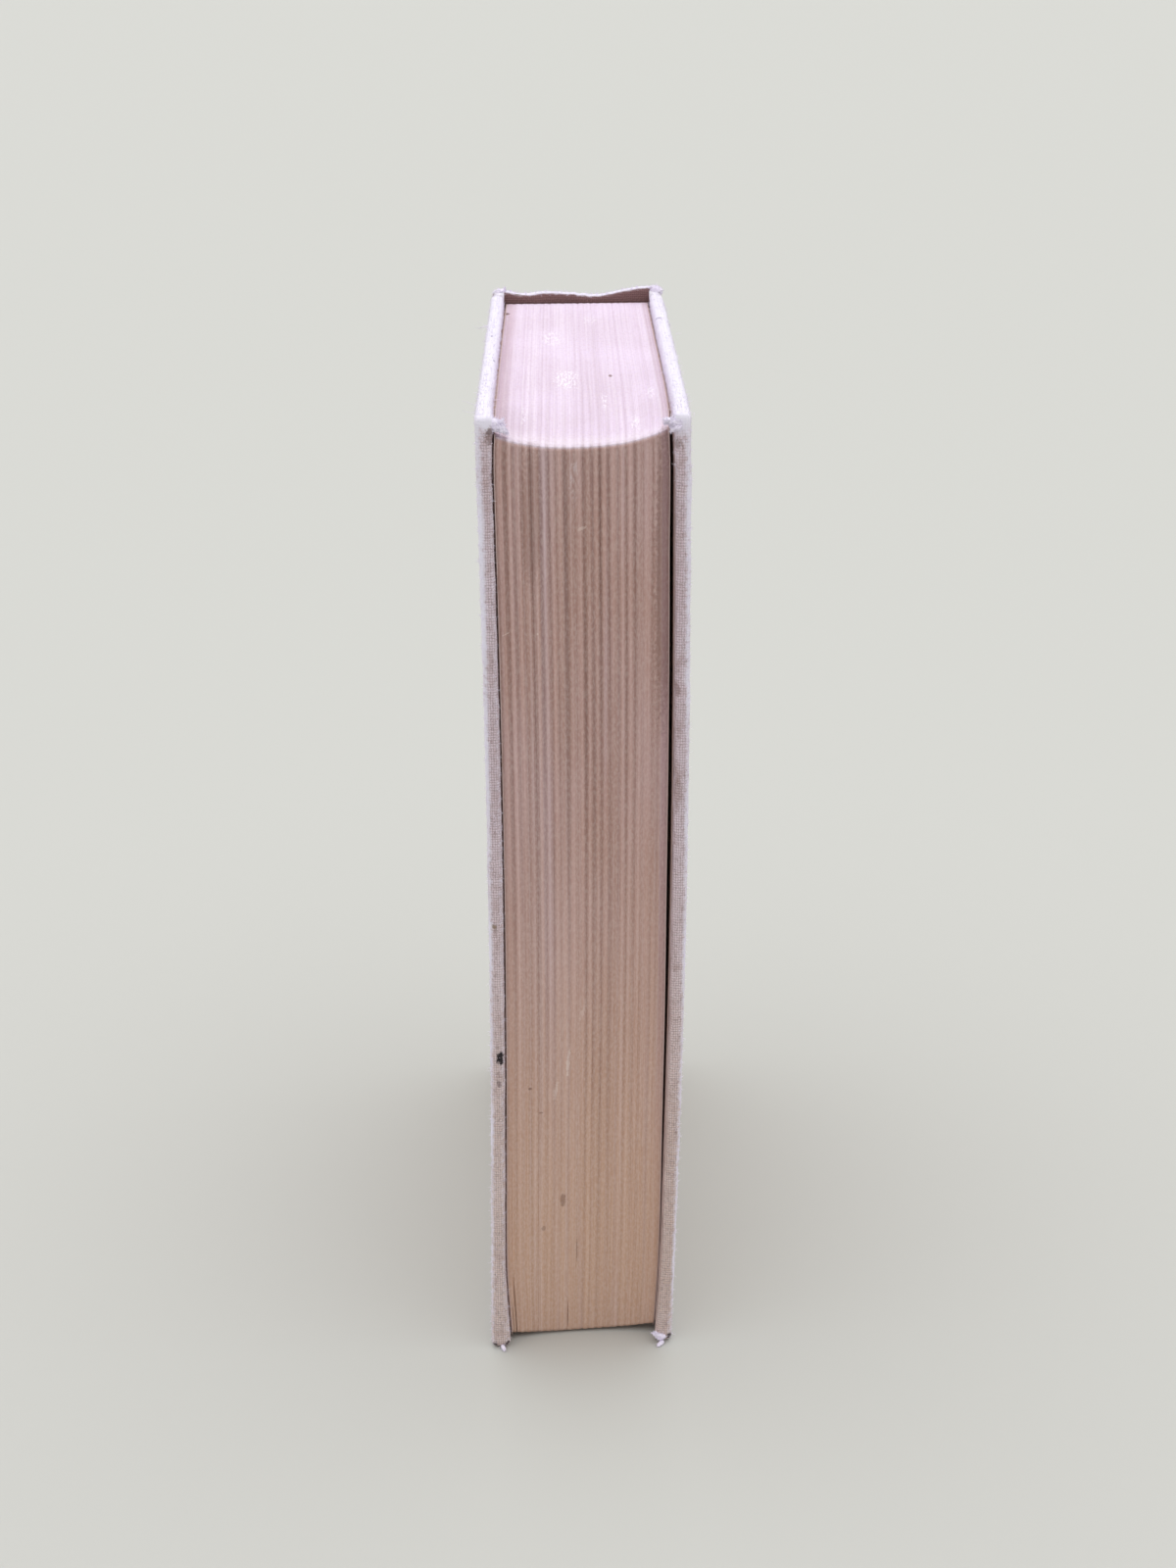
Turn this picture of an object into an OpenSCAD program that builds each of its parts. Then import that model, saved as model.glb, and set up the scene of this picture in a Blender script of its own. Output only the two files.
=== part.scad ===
// Cloth-bound hardcover book with a flat back, standing on its tail.
// X runs through the thickness, with the front cover at -X and the rear cover at +X.
// Y runs from the fore edge at -Y to the spine at +Y, and Z from the tail up to the head.
// The origin is the middle of the footprint, on the surface that the book stands on.

/* [Case] */
// Height of the covers, tail to head
cover_h = 207; // [140:1:300]
// Depth of a cover, from its fore edge to the back of the spine
cover_d = 128; // [90:1:220]
// Thickness of the closed book over both covers
book_t = 40; // [24:0.5:70]
// How far the front cover stands ahead of the rear one in the cocked binding
lean = 1.9; // [0:0.1:4]
// Thickness of a cover board
board_t = 2.2; // [1.4:0.1:3.5]
// Thickness of the book cloth
cloth_t = 0.35; // [0.2:0.05:0.5]
// Width of the cloth turned in over the edges of the boards and of the spine
turn_in = 15; // [8:0.5:22]
// Rounding of the cloth-covered edges
edge_r = 0.9; // [0.7:0.05:1.1]
// Rounding of the covers' corners, seen from the side
corner_r = 1.4; // [0.8:0.1:3]

/* [Joint and spine] */
// Width of the groove between a board and the spine
groove_w = 4.5; // [3:0.1:8]
// Depth of the groove below the outer face of the cover
groove_d = 0.8; // [0.5:0.05:1.2]
// Height of the wad of folded cloth that fills each joint at its head and tail
wad_h = 3; // [1:0.1:6]
// Slit between the cloth of the cover and of the spine, at the hinge line
hinge_slit = 0.1; // [0.05:0.05:0.2]
// Thickness of the card strip inside the spine
strip_t = 1.2; // [0.8:0.1:2]
// How far each side of the spine lies inside the outer face of the cover
spine_inset = 0.2; // [0.1:0.05:0.4]
// Dip worn into the head of the spine
head_dip = 1.2; // [0.2:0.1:2.5]
// Hollow between the lined back of the pages and the spine
hollow = 0.5; // [0.3:0.1:1.5]
// Thickness of the cloth and paper lining glued on the back of the pages
lining_t = 0.4; // [0.2:0.1:1]
// Glue between the backs of the gatherings and their lining
glue_t = 0.05; // [0.02:0.01:0.1]
// How far the lining stops short of the head and tail of the pages
lining_margin = 4; // [0:0.5:12]

/* [Endpapers] */
// Thickness of the endpaper, both the half pasted to the board and the free leaf
endpaper_t = 0.2; // [0.1:0.05:0.3]
// How far the pasted half stops short of the edges of the cover
paste_margin = 3.5; // [2:0.5:6]

/* [Pages] */
// Square: how far the covers stand out past the pages at the tail
tail_square = 3.4; // [2:0.1:6]
// Square at the head
head_square = 2.7; // [2:0.1:6]
// Square at the fore edge
fore_square = 2.6; // [2:0.1:6]
// Number of sewn gatherings
gatherings = 20; // [8:1:36]
// Depth of the valley between two gatherings, where the fore edge meets the head
valley = 0.35; // [0:0.05:0.5]
// Depth of that valley where the fore edge meets the tail, where the leaves lie tighter
tail_valley = 0.08; // [0:0.01:0.5]
// Gap between the front cover and the free leaf
front_gap = 0.3; // [0.2:0.05:1]
// Gap between the rear cover and the free leaf
rear_gap = 0.7; // [0.2:0.05:1.5]
// Droop of the leaves next to the front cover, in degrees
front_droop = 0.5; // [0:0.05:0.8]
// Droop of the leaves next to the rear cover, in degrees
rear_droop = 0.25; // [0:0.05:0.8]
// Droop added in the middle of the pages, in degrees
middle_droop = 1.05; // [0:0.05:1.2]
// Height of the point at the back of the pages about which they droop
droop_z = 100; // [60:1:140]
// How far the first leaf's fore edge stands ahead of the last one's, over the book's thickness
page_lean = 3.6; // [0:0.1:5]

/* [Hidden] */
$fn = 48;
// How far a cutting shape reaches past the face that it cuts
past = 1;
FRONT = -1;
REAR = 1;

cloth_colour = "#b7aaa8";
board_colour = "#9a8a72";
endpaper_colour = "#d9c7b0";
page_colour = "#c2a08d";
lining_colour = "#cfc4b2";

// Layers of a cover, from its outer face inwards, written for the rear cover
outer_x = book_t / 2;
board_outer_x = outer_x - cloth_t;
board_inner_x = board_outer_x - board_t;
turn_in_x = board_inner_x - cloth_t;
paste_x = turn_in_x - endpaper_t;
board_r = edge_r - cloth_t;

// Places along the depth
fore_y = -cover_d / 2;
back_y = cover_d / 2;
spine_t = strip_t + 2 * cloth_t;
shoulder_y = back_y - spine_t;
hinge_y = shoulder_y - groove_w / 2;
board_back_y = shoulder_y - groove_w - cloth_t;
lining_y = shoulder_y - hollow - lining_t;
leaf_back_y = lining_y - glue_t;
fore_leaf_y = fore_y + fore_square;

// Cloth in the groove
groove_outer_x = outer_x - groove_d;
groove_inner_x = groove_outer_x - cloth_t;

// Spine, which turns with the lean
lean_angle = atan(lean / book_t);
spine_w = 2 * (outer_x - spine_inset);
// Chord and radius of the dip in its head
dip_w = 2 * paste_x;
dip_r = (pow(dip_w / 2, 2) + pow(head_dip, 2)) / (2 * head_dip);

// Pages
leaf_d = leaf_back_y - fore_leaf_y;
leaf_bottom_z = tail_square;
leaf_top_z = cover_h - head_square;
first_x = -paste_x + front_gap + endpaper_t;
last_x = paste_x - rear_gap - endpaper_t;
pages_t = last_x - first_x;
gathering_t = pages_t / gatherings;
// Cross-sections taken through each gathering, as shares of its thickness
gathering_cuts = [0, 0.1, 0.3, 0.5, 0.7, 0.9];
// The head and tail show the valleys less than the fore edge does
end_valley_share = 0.4;
// How blunt the curve of the droop is across the pages
droop_power = 2.4;

// Where a leaf lies between the first, at -1, and the last, at 1
function across(x) = 2 * (x - first_x) / pages_t - 1;

function droop(x) =
    let (u = across(x))
    front_droop * (1 - u) / 2 + rear_droop * (1 + u) / 2
    + middle_droop * (1 - pow(abs(u), droop_power));

// A corner of a leaf's fore edge, turned about the droop point in the plane of the leaf
function fore_corner(x, depth, z) =
    let (a = droop(x), rise = z - droop_z)
    [
        leaf_back_y - depth * cos(a) - rise * sin(a) + page_lean * x / book_t,
        droop_z - depth * sin(a) + rise * cos(a),
    ];

function back_corner(x, z, inset) = [leaf_back_y - inset + lean * x / book_t, z];

// The four corners of a leaf as [y, z]: tail fore, tail back, head back and head fore.
// It lies back from the crown of its gathering by a share of the valleys.
function leaf_corners(x, lie_back) =
    let (head_dip = valley * lie_back, tail_dip = tail_valley * lie_back)
    [
        fore_corner(x, leaf_d - tail_dip, leaf_bottom_z + tail_dip * end_valley_share),
        back_corner(x, leaf_bottom_z + tail_dip * end_valley_share, head_dip),
        back_corner(x, leaf_top_z - head_dip * end_valley_share, head_dip),
        fore_corner(x, leaf_d - head_dip, leaf_top_z - head_dip * end_valley_share),
    ];

// How far a leaf lies back at a share of its gathering: all the way at its two sides, not at its crown
function lie_back_at(share) = pow(2 * share - 1, 4);

// Rectangle with rounded corners
module round_rect(w, h, r) {
    translate([r, 0])
        square([w - 2 * r, h]);
    translate([0, r])
        square([w, h - 2 * r]);
    for (x = [r, w - r], y = [r, h - r])
        translate([x, y])
            circle(r);
}

// Flat slab with every edge rounded, and with its own rounding of the corners seen along X
module round_slab(x, y, z, r, side_r) {
    size_x = x[1] - x[0];
    size_y = y[1] - y[0];
    size_z = z[1] - z[0];
    translate([x[0], y[0], z[0]])
        intersection() {
            linear_extrude(size_z)
                round_rect(size_x, size_y, r);
            translate([0, size_y, 0])
                rotate([90, 0, 0])
                    linear_extrude(size_y)
                        round_rect(size_x, size_z, r);
            rotate([90, 0, 90])
                linear_extrude(size_x)
                    round_rect(size_y, size_z, side_r);
        }
}

// Plain box between two limits on each axis
module block(x, y, z) {
    translate([x[0], y[0], z[0]])
        cube([x[1] - x[0], y[1] - y[0], z[1] - z[0]]);
}

// Puts a piece drawn for the rear cover on the front or the rear, moved along by the lean
module on_side(side) {
    translate([0, side * lean / 2, 0])
        mirror([side == FRONT ? 1 : 0, 0, 0])
            children();
}

// Turns a piece of the back with the leaning spine
module along_spine() {
    translate([0, shoulder_y, 0])
        rotate([0, 0, lean_angle])
            translate([0, -shoulder_y, 0])
                children();
}

// Stiff board of one cover
module board() {
    round_slab(
        [board_inner_x, board_outer_x],
        [fore_y + cloth_t, board_back_y],
        [cloth_t, cover_h - cloth_t],
        board_r, corner_r - cloth_t
    );
}

// Band of cloth in the groove between two depths, doubled where it is turned in at head and tail,
// and folded there into a wad as thick as the cover
module groove_band(y) {
    block([groove_inner_x, groove_outer_x], y, [0, cover_h]);
    for (z = [0, cover_h - turn_in])
        block([groove_inner_x - cloth_t, groove_inner_x], y, [z, z + turn_in]);
    for (z = [0, cover_h - wad_h])
        block([turn_in_x, groove_inner_x], y, [z, z + wad_h]);
}

// Cloth of one cover: wrapped round the board, turned in on three sides, and down into the groove
module cover_cloth() {
    difference() {
        union() {
            round_slab(
                [turn_in_x, outer_x],
                [fore_y, board_back_y + cloth_t],
                [0, cover_h],
                edge_r, corner_r
            );
            groove_band([board_back_y, hinge_y - hinge_slit / 2]);
        }
        board();
        // Bare inside of the board, between the turned-in edges
        block(
            [turn_in_x - past, board_inner_x],
            [fore_y + turn_in, board_back_y],
            [turn_in, cover_h - turn_in]
        );
        // Back edge of the board below the groove, which the cloth doesn't cover
        block(
            [turn_in_x - past, groove_inner_x],
            [board_back_y, board_back_y + cloth_t + past],
            [turn_in, cover_h - turn_in]
        );
    }
}

// Pasted half of an endpaper: it lies over the turned-in cloth and sinks to the board inside it
module pastedown() {
    difference() {
        union() {
            block(
                [paste_x, turn_in_x],
                [fore_y + paste_margin, board_back_y],
                [paste_margin, cover_h - paste_margin]
            );
            block(
                [paste_x, board_inner_x],
                [fore_y + turn_in, board_back_y],
                [turn_in, cover_h - turn_in]
            );
        }
        block(
            [paste_x - past, board_inner_x - endpaper_t],
            [fore_y + turn_in + endpaper_t, board_back_y + past],
            [turn_in + endpaper_t, cover_h - turn_in - endpaper_t]
        );
    }
}

// Free half of an endpaper, lying on the outermost page
module flyleaf(x) {
    translate([x, 0, 0])
        rotate([90, 0, 90])
            linear_extrude(endpaper_t)
                polygon(leaf_corners(x, 0));
}

// Slab of the spine inside a margin of its outline, with the dip worn into its head
module spine_slab(margin, y) {
    half_w = spine_w / 2 - margin;
    top_z = cover_h - margin;
    difference() {
        block([-half_w, half_w], y, [margin, top_z]);
        translate([0, y[0] - past, top_z - head_dip + dip_r])
            rotate([-90, 0, 0])
                cylinder(h = y[1] - y[0] + 2 * past, r = dip_r, $fn = 180);
    }
}

// Rounds the two back edges of the spine
module spine_plan(margin) {
    half_w = spine_w / 2 - margin;
    r = edge_r - margin;
    depth = spine_t - 2 * margin;
    translate([-half_w, shoulder_y + margin, 0])
        linear_extrude(cover_h)
            union() {
                square([2 * half_w, depth - r]);
                translate([r, 0])
                    square([2 * (half_w - r), depth]);
                for (x = [r, 2 * half_w - r])
                    translate([x, depth - r])
                        circle(r);
            }
}

// All the pages: a wall of leaves in sewn gatherings, sagging away from the spine in the middle
module page_block() {
    cuts = [
        for (i = [0:gatherings - 1], share = gathering_cuts)
            [first_x + (i + share) * gathering_t, lie_back_at(share)],
        [last_x, lie_back_at(1)],
    ];
    corners = [
        for (cut = cuts, corner = leaf_corners(cut[0], cut[1])) [cut[0], corner[0], corner[1]]
    ];
    last = len(cuts) - 1;
    // Each strip between two cuts is split into triangles, because the droop twists it
    strips = [
        for (i = [0:last - 1], k = [0:3])
            let (a = 4 * i + k, b = 4 * i + (k + 1) % 4)
                each [[a, a + 4, b], [b, a + 4, b + 4]]
    ];
    ends = [[0, 1, 2, 3], [4 * last + 3, 4 * last + 2, 4 * last + 1, 4 * last]];
    color(page_colour)
        polyhedron(corners, concat(strips, ends));
}

module front_flyleaf() {
    color(endpaper_colour)
        flyleaf(first_x - endpaper_t);
}

module rear_flyleaf() {
    color(endpaper_colour)
        flyleaf(last_x);
}

module spine_lining() {
    color(lining_colour)
        along_spine()
            block(
                [first_x, last_x],
                [lining_y, lining_y + lining_t],
                [leaf_bottom_z + lining_margin, leaf_top_z - lining_margin]
            );
}

module spine_strip() {
    color(board_colour)
        along_spine()
            intersection() {
                spine_slab(cloth_t, [shoulder_y + cloth_t, back_y - cloth_t]);
                spine_plan(cloth_t);
            }
}

// Cloth of the spine: round the card strip, turned in at head and tail, and out to both hinge lines
module spine_cloth() {
    color(cloth_colour) {
        along_spine()
            difference() {
                intersection() {
                    spine_slab(0, [shoulder_y, back_y]);
                    spine_plan(0);
                }
                intersection() {
                    spine_slab(cloth_t, [shoulder_y + cloth_t, back_y - cloth_t]);
                    spine_plan(cloth_t);
                }
                // Bare inside of the strip, between the turned-in ends
                block(
                    [-groove_inner_x, groove_inner_x],
                    [shoulder_y - past, shoulder_y + cloth_t],
                    [turn_in, cover_h - turn_in]
                );
            }
        for (side = [FRONT, REAR])
            on_side(side)
                groove_band([hinge_y + hinge_slit / 2, shoulder_y + cloth_t / 2]);
    }
}

module front_board() {
    color(board_colour)
        on_side(FRONT)
            board();
}

module front_cloth() {
    color(cloth_colour)
        on_side(FRONT)
            cover_cloth();
}

module front_pastedown() {
    color(endpaper_colour)
        on_side(FRONT)
            pastedown();
}

module rear_board() {
    color(board_colour)
        on_side(REAR)
            board();
}

module rear_cloth() {
    color(cloth_colour)
        on_side(REAR)
            cover_cloth();
}

module rear_pastedown() {
    color(endpaper_colour)
        on_side(REAR)
            pastedown();
}

page_block();
front_flyleaf();
rear_flyleaf();
spine_lining();
spine_strip();
spine_cloth();
front_board();
front_cloth();
front_pastedown();
rear_board();
rear_cloth();
rear_pastedown();
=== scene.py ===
import math
import random

import bmesh
import bpy
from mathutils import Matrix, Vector, noise
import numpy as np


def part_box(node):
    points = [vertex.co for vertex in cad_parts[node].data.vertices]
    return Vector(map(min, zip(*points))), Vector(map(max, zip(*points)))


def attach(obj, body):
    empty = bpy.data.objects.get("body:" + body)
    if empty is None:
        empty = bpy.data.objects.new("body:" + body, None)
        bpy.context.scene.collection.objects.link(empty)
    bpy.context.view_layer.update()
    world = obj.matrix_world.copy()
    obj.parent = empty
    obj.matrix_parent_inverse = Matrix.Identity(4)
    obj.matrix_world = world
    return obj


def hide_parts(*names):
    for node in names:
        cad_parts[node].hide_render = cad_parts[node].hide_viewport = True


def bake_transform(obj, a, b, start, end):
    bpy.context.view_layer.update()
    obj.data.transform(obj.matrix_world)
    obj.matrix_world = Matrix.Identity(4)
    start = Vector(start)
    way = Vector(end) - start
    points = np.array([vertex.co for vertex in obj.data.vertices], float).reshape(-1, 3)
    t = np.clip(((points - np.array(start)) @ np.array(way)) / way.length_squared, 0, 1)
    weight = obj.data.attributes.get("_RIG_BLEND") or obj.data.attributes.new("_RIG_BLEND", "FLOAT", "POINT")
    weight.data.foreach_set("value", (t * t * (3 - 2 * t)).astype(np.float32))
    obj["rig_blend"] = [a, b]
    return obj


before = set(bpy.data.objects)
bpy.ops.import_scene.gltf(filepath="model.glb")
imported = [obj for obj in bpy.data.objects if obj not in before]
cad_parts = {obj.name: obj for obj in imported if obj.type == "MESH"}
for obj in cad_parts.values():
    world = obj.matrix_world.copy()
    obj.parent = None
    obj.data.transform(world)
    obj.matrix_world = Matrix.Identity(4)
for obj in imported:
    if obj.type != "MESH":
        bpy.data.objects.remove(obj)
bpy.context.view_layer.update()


# Page block: 20 gatherings of 16 leaves, folded, sewn through the fold and trimmed on three sides.
# The paper has browned at its cut edges. The block has sagged between the covers, so that each
# gathering shows as a ridge at the fore edge, and the ridges close up towards the tail.
MM = 0.001
FRONT = -1
REAR = 1
GATHERINGS = 20
LEAVES = 16
book_t = 40.0
cover_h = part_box("front_cloth")[1].z / MM
fore_y = -64.0
lean = 1.9
page_lean = 3.6
first_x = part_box("page_block")[0].x / MM
last_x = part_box("page_block")[1].x / MM
leaf_t = (last_x - first_x) / (GATHERINGS * LEAVES)
leaf_back_y = 61.15
leaf_d = 122.55
leaf_tail_z = 3.4
leaf_head_z = 204.3
leaf_h = leaf_head_z - leaf_tail_z
# Droop of the leaves in degrees, beside each cover and more in the middle, about a point at this height
droop_z = 100.0
front_droop = 0.5
rear_droop = 0.25
middle_droop = 1.05
droop_power = 2.4
# How far the outer leaves have settled towards the tail, and below what height
tail_settle = 0.55
settle_z = 60.0
# How far the leaves close the gap beside the front cover: at the fore edge, near the tail and half-way in
front_close = 0.15
tail_close = 0.07
middle_close = 0.17
# How far they close the gap beside the rear cover: at the spine, under the head and at the fore edge
rear_close = 0.5
head_close = 0.4
fore_close = 0.3
# How far that gap opens up the fore edge, and the steps by which it closes again:
# from and to what share of the height, and how far
fore_open = 0.6
FORE_STEPS = [(0.3, 0.1, 0.3), (0.3, 0.6, -0.2), (0.45, 0.85, 0.25), (0.85, 0.97, 0.2)]
# Heights between which the leaves start to close their gaps
near_tail = (80.0, 20.0)
well_up = (60.0, 160.0)
under_head = (170.0, 200.0)
# Bow of the boards: where it starts, over what depth, the most of that depth, how far it goes at half
# height, and how far the rear board is twisted out towards the head and in at the tail
bow_y = 58.0
bow_d = 122.0
bow_most = 1.05
front_bow = 1.05
rear_bow = 1.2
rear_twist = 1.05
rear_tail_in = 0.55
# Swollen fore corners at head and tail: at what height, how far they reach up or down and stand in;
# and how far they reach back along the cover and into the leaves
SWELL = {
    FRONT: [(cover_h, 6.0, 0.5), (0.0, 13.0, 1.3)],
    REAR: [(cover_h, 6.0, 0.5), (0.0, 13.0, 0.8)],
}
swell_d = 8.0
swell_leaves_t = 9.0
# Valleys between the gatherings: their depth at head and tail, and how strongly their painted shade shows on
# the head
valley_head = 0.34
valley_tail = 0.05
head_line = 0.4
# Unevenness of single leaves and of gatherings at the fore edge and at the ends, and the worn corners
fore_trim = 0.022
end_trim = 0.03
band_trim = 0.07
leaf_wave = 0.06
corner_worn = 0.3
# Where leaves have parted at the tail: first and last leaf, lowest and highest point, and depth
PARTED = [(10, 11, 0.0, 14.0, 0.8), (4, 4, 0.0, 8.0, 0.5), (129, 130, 1.0, 8.0, 0.35)]


def smooth(low, high, value):
    """A soft step from 0 at low to 1 at high."""
    t = min(max((value - low) / (high - low), 0.0), 1.0)
    return t * t * (3 - 2 * t)


def bells(places, at):
    """The sum of soft bumps at a place along a line, each with its middle, half-width and height."""
    return sum(high * math.exp(-(((at - middle) / width) ** 2)) for middle, width, high in places)


def bow(side, y, z):
    """How far towards +X the old boards, and the leaves with them, have bowed: nothing at the spine."""
    reach = min(max((bow_y - y) / bow_d, 0.0), bow_most)
    rise = z / cover_h
    middle = math.sin(math.pi * min(max(rise, 0.0), 1.0))
    if side == FRONT:
        return front_bow * middle * reach
    return (rear_bow * middle + rear_twist * rise - rear_tail_in) * reach


def swell(side, y, z):
    """How far a cover's bumped and swollen fore corners stand in towards the pages."""
    return bells([(fore_y, swell_d, 1.0)], y) * bells(SWELL[side], z)


def front_slack(share, z):
    """How far the first leaf closes the gap beside the front cover, at a share of the leaf's depth."""
    at_fore = (front_close + tail_close * smooth(*near_tail, z)) * share ** 2
    return at_fore + middle_close * smooth(*well_up, z) * math.sin(math.pi * share)


def rear_slack(share, rise, z):
    """How far the last leaf closes the gap beside the rear cover; rise is a share of the cover's height."""
    at_fore = fore_close - fore_open * rise
    at_fore += sum(far * smooth(low, high, rise) for low, high, far in FORE_STEPS)
    bell = 9.5 * share ** 3 * (1 - share)  # about 1 at three quarters of the way to the fore edge
    at_head = head_close * smooth(*under_head, z) * bell
    return rear_close * (1 - share ** 2) + at_fore * share ** 3 + at_head


def leaf_point(x, share, z, lie_back):
    """A point of the leaf that is at x where it is sewn: share 0 is the sewn back and 1 the fore edge."""
    across = 2 * (x - first_x) / (last_x - first_x) - 1
    angle = math.radians(
        front_droop * (1 - across) / 2
        + rear_droop * (1 + across) / 2
        + middle_droop * (1 - min(abs(across), 1.0) ** droop_power)
    )
    depth = leaf_d - lie_back
    z -= tail_settle * across ** 2 * share * smooth(settle_z, 0, z)
    back = Vector((0, leaf_back_y + lean * x / book_t, z))
    edge_y = leaf_back_y - depth * math.cos(angle) - (z - droop_z) * math.sin(angle)
    edge_z = droop_z - depth * math.sin(angle) + (z - droop_z) * math.cos(angle)
    point = back.lerp(Vector((0, edge_y + page_lean * x / book_t, edge_z)), share)
    at = (point.y, point.z)
    pushed = (bow(FRONT, *at) - front_slack(share, z)) * (1 - across) / 2
    pushed += (bow(REAR, *at) + rear_slack(share, point.z / cover_h, z)) * (1 + across) / 2
    pushed += swell(FRONT, *at) * max(0.0, 1 - (x - first_x) / swell_leaves_t)
    pushed -= swell(REAR, *at) * max(0.0, 1 - (last_x - x) / swell_leaves_t)
    point.x = x + pushed
    return point


def rows(low, high, count, crowd=0.0):
    """Places from low to high, crowded towards both ends by a share from 0 to 1."""
    steps = [i / (count - 1) for i in range(count)]
    shares = [t - crowd * math.sin(2 * math.pi * t) / (2 * math.pi) for t in steps]
    return [low + (high - low) * share for share in shares]


def gridded_box(xs, ys, zs):
    """A closed box of quads with a row of vertices at each of the given places along X, Y and Z."""
    bm = bmesh.new()
    bmesh.ops.create_cube(bm, size=1.0)
    for axis, places in enumerate((xs, ys, zs)):
        if len(places) > 2:
            along = [e for e in bm.edges if abs(e.verts[0].co[axis] - e.verts[1].co[axis]) > 1e-5]
            bmesh.ops.subdivide_edges(bm, edges=along, cuts=len(places) - 2, use_grid_fill=True)
    for vert in bm.verts:
        for axis, places in enumerate((xs, ys, zs)):
            vert.co[axis] = places[round((vert.co[axis] + 0.5) * (len(places) - 1))]
    return bm


def new_piece(bm, name, material, flat=False):
    """Makes a piece from a mesh that was shaped in millimetres."""
    bmesh.ops.scale(bm, vec=(MM, MM, MM), verts=bm.verts)
    mesh = bpy.data.meshes.new(name)
    bm.to_mesh(mesh)
    bm.free()
    if not flat:
        mesh.shade_smooth()
    mesh.materials.append(material)
    made = bpy.data.objects.new(name, mesh)
    bpy.context.scene.collection.objects.link(made)
    return made


def colour(code):
    """A shader colour from its usual code of six hexadecimal digits."""
    parts = [int(code[i:i + 2], 16) / 255 for i in (1, 3, 5)]
    linear = [c / 12.92 if c <= 0.04045 else ((c + 0.055) / 1.055) ** 2.4 for c in parts]
    return (*linear, 1.0)


def put(tree, kind, inputs=None, **settings):
    """Adds a node: its settings, then its inputs, each of them a value or the socket that feeds it."""
    made = tree.nodes.new(kind)
    for name, value in settings.items():
        setattr(made, name, value)
    for name, value in (inputs or {}).items():
        if isinstance(value, bpy.types.NodeSocket):
            tree.links.new(value, made.inputs[name])
        else:
            made.inputs[name].default_value = value
    return made


def calc(tree, operation, *values):
    return put(tree, "ShaderNodeMath", dict(enumerate(values)), operation=operation).outputs[0]


def vector_calc(tree, operation, *values):
    return put(tree, "ShaderNodeVectorMath", dict(enumerate(values)), operation=operation).outputs[0]


def mixed(tree, share, a, b):
    return put(tree, "ShaderNodeMix", {0: share, 6: a, 7: b}, data_type="RGBA").outputs[2]


def tinted(tree, base, where, strength, code):
    """Lays a colour over the base where a mask says, at a given strength."""
    return mixed(tree, calc(tree, "MULTIPLY", where, strength), base, colour(code))


def mask(tree, value, low, high):
    """A soft mask from 0, where the value is low, to 1, where it is high."""
    ends = {"Value": value, "From Min": low, "From Max": high}
    return put(tree, "ShaderNodeMapRange", ends, interpolation_type="SMOOTHSTEP").outputs[0]


def mottle(tree, place, scale, stretch=(1, 1, 1), detail=2):
    """Noise of about the given number of blotches a millimetre, stretched along the axes."""
    inputs = {"Vector": vector_calc(tree, "MULTIPLY", place, stretch), "Scale": scale, "Detail": detail}
    return put(tree, "ShaderNodeTexNoise", inputs).outputs["Fac"]


def attribute(tree, name):
    return put(tree, "ShaderNodeAttribute", attribute_name=name).outputs["Fac"]


def new_material(name, roughness):
    """A material with a rough shader, and the place on the piece in millimetres for its patterns."""
    material = bpy.data.materials.new(name)
    material.use_nodes = True
    tree = material.node_tree
    shader = tree.nodes["Principled BSDF"]
    shader.inputs["Roughness"].default_value = roughness
    shader.inputs["Specular IOR Level"].default_value = 0.25
    at = put(tree, "ShaderNodeTexCoord").outputs["Object"]
    scaled = put(tree, "ShaderNodeVectorMath", {0: at, "Scale": 1 / MM}, operation="SCALE")
    return material, tree, shader, scaled.outputs[0]


def surface(tree, shader, base, height, distance):
    """Gives a shader its colour, and relief from a height and its size in millimetres."""
    tree.links.new(base, shader.inputs["Base Color"])
    inputs = {"Height": height, "Distance": distance * MM, "Strength": 1.0}
    tree.links.new(put(tree, "ShaderNodeBump", inputs).outputs[0], shader.inputs["Normal"])


def new_group(name, vectors, numbers, results):
    """A node group with these inputs and number outputs, and the sockets of what it is given."""
    group = bpy.data.node_groups.new(name, "ShaderNodeTree")
    kinds = [("INPUT", "Vector", vectors), ("INPUT", "Float", numbers), ("OUTPUT", "Float", results)]
    for way, kind, names in kinds:
        for socket in names:
            group.interface.new_socket(socket, in_out=way, socket_type="NodeSocket" + kind)
    return group, put(group, "NodeGroupInput").outputs


def spot_group():
    """One ragged spot, smear or scratch: a mask round a centre, with its own half-sizes and turn."""
    group, given = new_group("spot", ["Place", "Centre", "Size"], ["Turn", "Ragged"], ["Mask"])
    turning = {"Vector": given["Place"], "Center": given["Centre"], "Angle": given["Turn"]}
    turned = put(group, "ShaderNodeVectorRotate", turning, rotation_type="Y_AXIS").outputs[0]
    away = vector_calc(group, "SUBTRACT", turned, given["Centre"])
    sized = vector_calc(group, "DIVIDE", away, given["Size"])
    far = put(group, "ShaderNodeVectorMath", {0: sized}, operation="LENGTH").outputs["Value"]
    wobble = calc(group, "SUBTRACT", mottle(group, given["Place"], 1.6, detail=4), 0.5)
    ragged = calc(group, "MULTIPLY_ADD", wobble, given["Ragged"], far)
    put(group, "NodeGroupOutput", {"Mask": mask(group, ragged, 1.0, 0.55)})
    return group


SPOT = spot_group()


def spot(tree, place, centre, size, turn=0.0, ragged=1.0):
    inputs = {"Place": place, "Centre": centre, "Size": size, "Turn": math.radians(turn), "Ragged": ragged}
    return put(tree, "ShaderNodeGroup", inputs, node_tree=SPOT).outputs["Mask"]


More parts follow.
